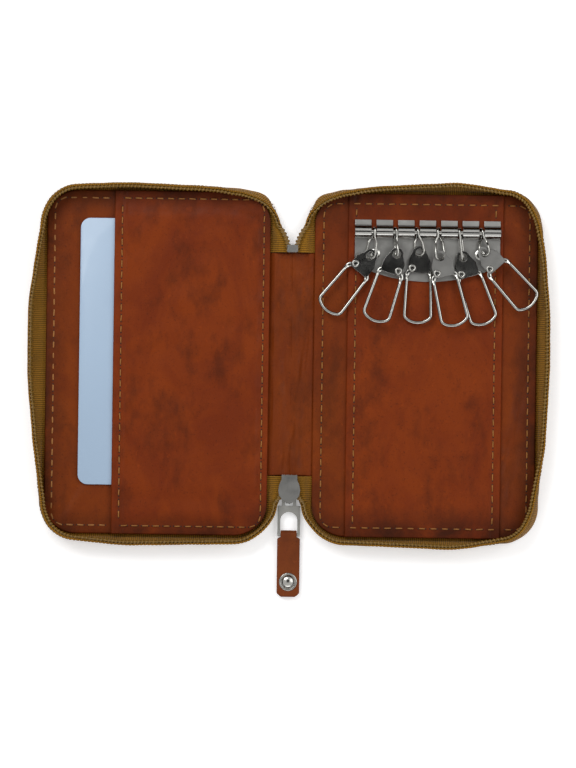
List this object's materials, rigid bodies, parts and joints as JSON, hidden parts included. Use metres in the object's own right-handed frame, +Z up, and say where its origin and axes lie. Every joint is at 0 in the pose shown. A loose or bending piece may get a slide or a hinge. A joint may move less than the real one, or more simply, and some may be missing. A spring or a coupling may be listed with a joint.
{
  "type": "key holder",
  "caption": "Zip-around leather key case lying open: two covers on a spine, a card pocket, and a key bar with swinging snap hooks.",
  "frame": {"origin": "middle of the spine on the outer leather's face", "axes": "+X across the open case towards the key bar's cover, +Y along the spine away from the zip pull, +Z up to the inside"},
  "size_m": [0.1691, 0.1346, 0.0089],
  "materials": {
    "outer_leather": "waxed full-grain leather with a fine pebble",
    "lining_leather": "smooth split leather with soft creases",
    "panel_leather": "smooth leather, a little darker and redder",
    "tab_leather": "folded leather strip",
    "zip_tape": "woven polyester twill",
    "zip_coil": "nylon monofilament",
    "board": "grey-brown fibre board",
    "card": "blank satin card",
    "nickel": "bright nickel plate with a faint haze",
    "chrome": "bright plated wire"
  },
  "bodies": {
    "spine": {"spine_leather": "outer_leather", "spine_lining": "lining_leather", "zip_tape_ends": "zip_tape", "zip_coil_ends": "zip_coil", "zip_stop": "nickel"},
    "left_cover": {"left_cover_leather": "outer_leather", "left_board": "board", "left_lining": "lining_leather", "card_pocket": "panel_leather", "left_zip_tape": "zip_tape", "left_zip_coil": "zip_coil"},
    "right_cover": {"right_cover_leather": "outer_leather", "right_board": "board", "right_lining": "lining_leather", "key_panel": "panel_leather", "right_zip_tape": "zip_tape", "right_zip_coil": "zip_coil", "key_bar": "nickel", "key_bar_rod": "chrome", "key_bar_rivets": "chrome"},
    "card": {"card": "card"},
    "slider": {"zip_slider": "nickel"},
    "bail": {"pull_bail": "chrome"},
    "tab": {"pull_tab": "tab_leather", "pull_rivet": "chrome"},
    "link_1": {"hook_link_1": "chrome"},
    "hook_1": {"hook_plate_1": "nickel", "hook_rivet_1": "chrome"},
    "loop_1": {"hook_loop_1": "chrome"},
    "link_2": {"hook_link_2": "chrome"},
    "hook_2": {"hook_plate_2": "nickel", "hook_rivet_2": "chrome"},
    "loop_2": {"hook_loop_2": "chrome"},
    "link_3": {"hook_link_3": "chrome"},
    "hook_3": {"hook_plate_3": "nickel", "hook_rivet_3": "chrome"},
    "loop_3": {"hook_loop_3": "chrome"},
    "link_4": {"hook_link_4": "chrome"},
    "hook_4": {"hook_plate_4": "nickel", "hook_rivet_4": "chrome"},
    "loop_4": {"hook_loop_4": "chrome"},
    "link_5": {"hook_link_5": "chrome"},
    "hook_5": {"hook_plate_5": "nickel", "hook_rivet_5": "chrome"},
    "loop_5": {"hook_loop_5": "chrome"},
    "link_6": {"hook_link_6": "chrome"},
    "hook_6": {"hook_plate_6": "nickel", "hook_rivet_6": "chrome"},
    "loop_6": {"hook_loop_6": "chrome"}
  },
  "joints": [
    {"name": "left_fold", "type": "hinge", "parent": "spine", "child": "left_cover", "pos_m": [-0.00715, 0, 0.0028], "axis": [0, 1, 0], "range_deg": [0, 90], "deforming": ["zip_tape_ends", "zip_coil_ends"]},
    {"name": "right_fold", "type": "hinge", "parent": "spine", "child": "right_cover", "pos_m": [0.00715, 0, 0.0028], "axis": [0, -1, 0], "range_deg": [0, 90]},
    {"name": "card_slide", "type": "slide", "parent": "left_cover", "child": "card", "axis": [-1, 0, 0], "range_m": [-0.0025, 0.0105]},
    {"name": "slider_run", "type": "slide", "parent": "spine", "child": "slider", "axis": [0, -1, 0], "range_m": [0, 0.0025]},
    {"name": "bail_swing", "type": "hinge", "parent": "slider", "child": "bail", "pos_m": [0, -0.0422, 0.00145], "axis": [1, 0, 0], "range_deg": [0, 130]},
    {"name": "tab_swing", "type": "hinge", "parent": "bail", "child": "tab", "pos_m": [0, -0.0548, 0.00145], "axis": [1, 0, 0], "range_deg": [-45, 45]},
    {"name": "link_swing_1", "type": "hinge", "parent": "right_cover", "child": "link_1", "pos_m": [0.02602, 0.0429, 0.00575], "axis": [1, 0, 0], "range_deg": [-150, 0]},
    {"name": "hook_swivel_1", "type": "hinge", "parent": "link_1", "child": "hook_1", "pos_m": [0.02497, 0.03508, 0.0057], "axis": [0, 0, 1], "range_deg": [-10, 10]},
    {"name": "loop_open_1", "type": "hinge", "parent": "hook_1", "child": "loop_1", "pos_m": [0.0202, 0.0326, 0.0057], "axis": [0, 0, 1], "range_deg": [-25, 0]},
    {"name": "link_swing_2", "type": "hinge", "parent": "right_cover", "child": "link_2", "pos_m": [0.03293, 0.0429, 0.00575], "axis": [1, 0, 0], "range_deg": [-150, 0]},
    {"name": "hook_swivel_2", "type": "hinge", "parent": "link_2", "child": "hook_2", "pos_m": [0.03337, 0.0356, 0.00745], "axis": [0, 0, 1], "range_deg": [-10, 10]},
    {"name": "loop_open_2", "type": "hinge", "parent": "hook_2", "child": "loop_2", "pos_m": [0.03397, 0.03027, 0.00745], "axis": [0, 0, -1], "range_deg": [-25, 0]},
    {"name": "link_swing_3", "type": "hinge", "parent": "right_cover", "child": "link_3", "pos_m": [0.03984, 0.0429, 0.00575], "axis": [1, 0, 0], "range_deg": [-150, 0]},
    {"name": "hook_swivel_3", "type": "hinge", "parent": "link_3", "child": "hook_3", "pos_m": [0.0407, 0.03623, 0.0057], "axis": [0, 0, 1], "range_deg": [-10, 10]},
    {"name": "loop_open_3", "type": "hinge", "parent": "hook_3", "child": "loop_3", "pos_m": [0.03841, 0.03137, 0.0057], "axis": [0, 0, 1], "range_deg": [-25, 0]},
    {"name": "link_swing_4", "type": "hinge", "parent": "right_cover", "child": "link_4", "pos_m": [0.04675, 0.0429, 0.00575], "axis": [1, 0, 0], "range_deg": [-150, 0]},
    {"name": "hook_swivel_4", "type": "hinge", "parent": "link_4", "child": "hook_4", "pos_m": [0.0473, 0.03494, 0.00745], "axis": [0, 0, -1], "range_deg": [-10, 10]},
    {"name": "loop_open_4", "type": "hinge", "parent": "hook_4", "child": "loop_4", "pos_m": [0.04632, 0.02966, 0.00745], "axis": [0, 0, 1], "range_deg": [-25, 0]},
    {"name": "link_swing_5", "type": "hinge", "parent": "right_cover", "child": "link_5", "pos_m": [0.05366, 0.0429, 0.00575], "axis": [1, 0, 0], "range_deg": [-150, 0]},
    {"name": "hook_swivel_5", "type": "hinge", "parent": "link_5", "child": "hook_5", "pos_m": [0.05461, 0.03489, 0.0057], "axis": [0, 0, -1], "range_deg": [-10, 10]},
    {"name": "loop_open_5", "type": "hinge", "parent": "hook_5", "child": "loop_5", "pos_m": [0.05419, 0.02954, 0.0057], "axis": [0, 0, 1], "range_deg": [-25, 0]},
    {"name": "link_swing_6", "type": "hinge", "parent": "right_cover", "child": "link_6", "pos_m": [0.06057, 0.0429, 0.00575], "axis": [1, 0, 0], "range_deg": [-150, 0]},
    {"name": "hook_swivel_6", "type": "hinge", "parent": "link_6", "child": "hook_6", "pos_m": [0.06146, 0.03641, 0.00745], "axis": [0, 0, -1], "range_deg": [-10, 10]},
    {"name": "loop_open_6", "type": "hinge", "parent": "hook_6", "child": "loop_6", "pos_m": [0.06315, 0.03131, 0.00745], "axis": [0, 0, 1], "range_deg": [-25, 0]}
  ]
}
